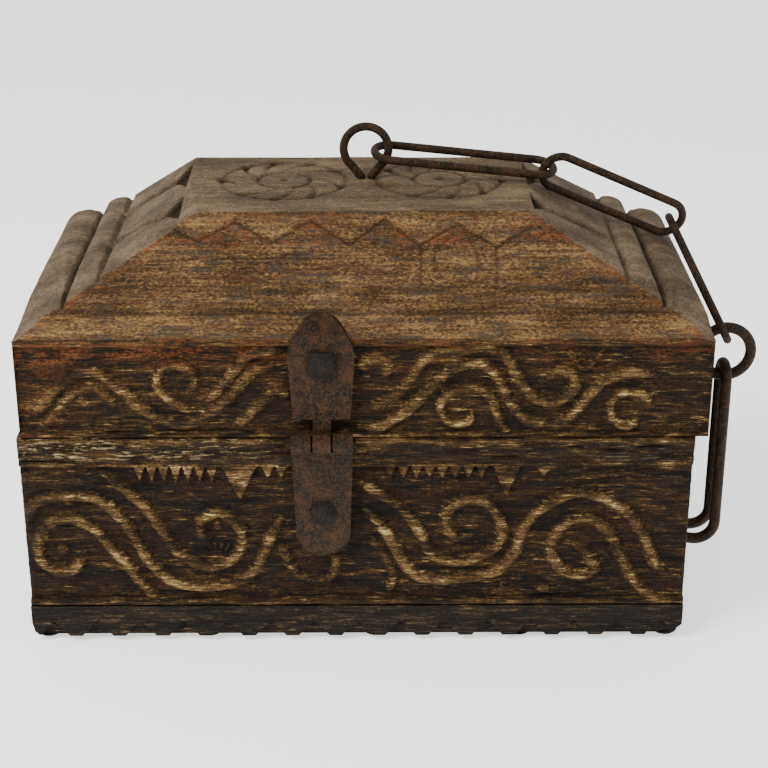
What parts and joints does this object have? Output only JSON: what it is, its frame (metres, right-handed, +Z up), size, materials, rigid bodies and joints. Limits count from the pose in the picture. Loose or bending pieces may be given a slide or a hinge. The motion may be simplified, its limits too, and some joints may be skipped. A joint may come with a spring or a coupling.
{
  "type": "donation box",
  "caption": "Carved wooden donation chest with a hipped lid on a front strap hinge, an eye and chain over its end, a loose ring and a hanging hasp.",
  "frame": {"origin": "centre of the bottom board's underside", "axes": "+X to the box's right, where the hasp hangs; -Y towards the front with the strap hinge; +Z up"},
  "size_m": [0.3312, 0.1638, 0.2205],
  "materials": {
    "carved_wood": "old oiled hardwood with worn ochre and red pigment",
    "board_wood": "darker oiled hardwood",
    "iron": "forged iron with brown rust"
  },
  "bodies": {
    "base": {"base_body": "carved_wood", "bottom_board": "board_wood", "front_studs": "iron", "back_studs": "iron", "lower_hinge_plate": "iron", "hinge_pin": "iron", "lower_rivet": "iron", "lower_rove": "iron"},
    "lid": {"lid_body": "carved_wood", "upper_hinge_plate": "iron", "upper_rivet": "iron", "upper_rove": "iron", "lid_eye": "iron"},
    "link_1": {"chain_link_1": "iron"},
    "link_2": {"chain_link_2": "iron"},
    "link_3": {"chain_link_3": "iron"},
    "ring": {"loose_ring": "iron"},
    "hasp": {"hasp": "iron"}
  },
  "joints": [
    {"name": "lid_hinge", "type": "hinge", "parent": "base", "child": "lid", "pos_m": [-0.0148, -0.0821, 0.09935], "axis": [1, 0, 0], "range_deg": [0, 160]},
    {"name": "link_1_swing", "type": "hinge", "parent": "lid", "child": "link_1", "pos_m": [0.0044, 0.008, 0.2055], "axis": [0, -1, 0], "range_deg": [0, 60]},
    {"name": "link_2_swing", "type": "hinge", "parent": "link_1", "child": "link_2", "pos_m": [0.09015, 0.0076, 0.1959], "axis": [-0.0212, -0.987, -0.1591], "range_deg": [0, 50]},
    {"name": "link_3_swing", "type": "hinge", "parent": "link_2", "child": "link_3", "pos_m": [0.152, 0.0199, 0.1657], "axis": [0.457, -0.17, 0.873], "range_deg": [0, 30]},
    {"name": "ring_swing", "type": "hinge", "parent": "link_3", "child": "ring", "pos_m": [0.16639, -0.02541, 0.13035], "axis": [1, 0, 0], "range_deg": [-12, 12]},
    {"name": "hasp_swing", "type": "hinge", "parent": "ring", "child": "hasp", "pos_m": [0.1688, -0.02541, 0.1189], "axis": [0, -1, 0], "range_deg": [0, 40]}
  ]
}
